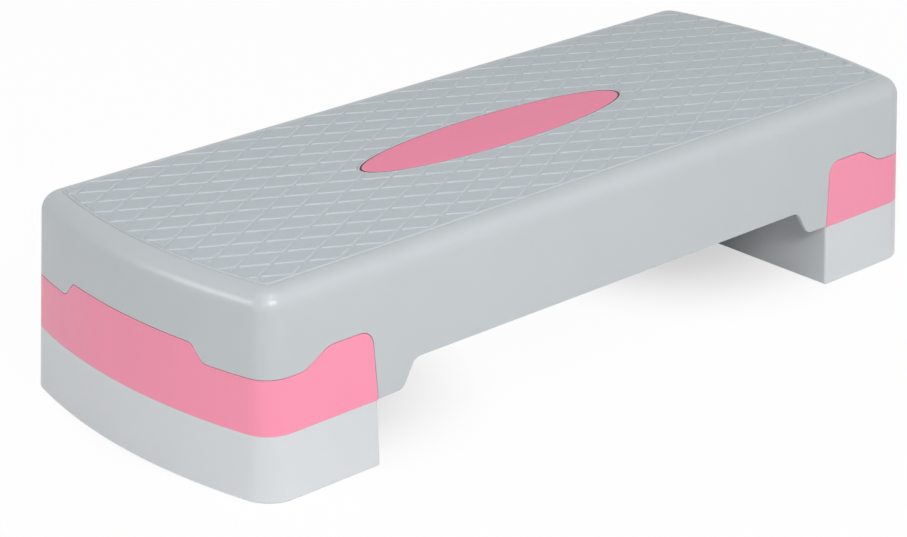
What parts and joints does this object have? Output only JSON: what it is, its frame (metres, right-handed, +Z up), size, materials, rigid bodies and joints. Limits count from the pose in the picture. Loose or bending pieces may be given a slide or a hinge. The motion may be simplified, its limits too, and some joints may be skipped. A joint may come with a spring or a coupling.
{
  "type": "aerobic step platform",
  "caption": "Low rectangular exercise step with a textured grey deck, an oval badge, pink push-in legs and grey push-in feet that set two heights.",
  "frame": {"origin": "on the floor under the middle of the platform", "axes": "+X along the length, +Y across the width, +Z up"},
  "size_m": [0.6948, 0.2698, 0.15],
  "materials": {
    "deck": "fine satin grain",
    "feet": "fine satin grain",
    "legs": "fine satin grain",
    "badge": "smooth satin",
    "pads": "matt"
  },
  "bodies": {
    "deck": {"deck": "deck", "badge": "badge"},
    "left_leg": {"left_leg": "legs", "left_leg_pad_front_inner": "pads", "left_leg_pad_front_outer": "pads", "left_leg_pad_back_inner": "pads", "left_leg_pad_back_outer": "pads"},
    "left_foot": {"left_foot": "feet", "left_foot_pad_front_inner": "pads", "left_foot_pad_front_outer": "pads", "left_foot_pad_back_inner": "pads", "left_foot_pad_back_outer": "pads"},
    "right_leg": {"right_leg": "legs", "right_leg_pad_front_inner": "pads", "right_leg_pad_front_outer": "pads", "right_leg_pad_back_inner": "pads", "right_leg_pad_back_outer": "pads"},
    "right_foot": {"right_foot": "feet", "right_foot_pad_front_inner": "pads", "right_foot_pad_front_outer": "pads", "right_foot_pad_back_inner": "pads", "right_foot_pad_back_outer": "pads"}
  },
  "joints": [
    {"name": "left_leg_pull", "type": "slide", "parent": "deck", "child": "left_leg", "axis": [0, 0, -1], "range_m": [0, 0.1]},
    {"name": "left_foot_pull", "type": "slide", "parent": "left_leg", "child": "left_foot", "axis": [0, 0, -1], "range_m": [0, 0.03]},
    {"name": "right_leg_pull", "type": "slide", "parent": "deck", "child": "right_leg", "axis": [0, 0, -1], "range_m": [0, 0.1]},
    {"name": "right_foot_pull", "type": "slide", "parent": "right_leg", "child": "right_foot", "axis": [0, 0, -1], "range_m": [0, 0.03]}
  ]
}
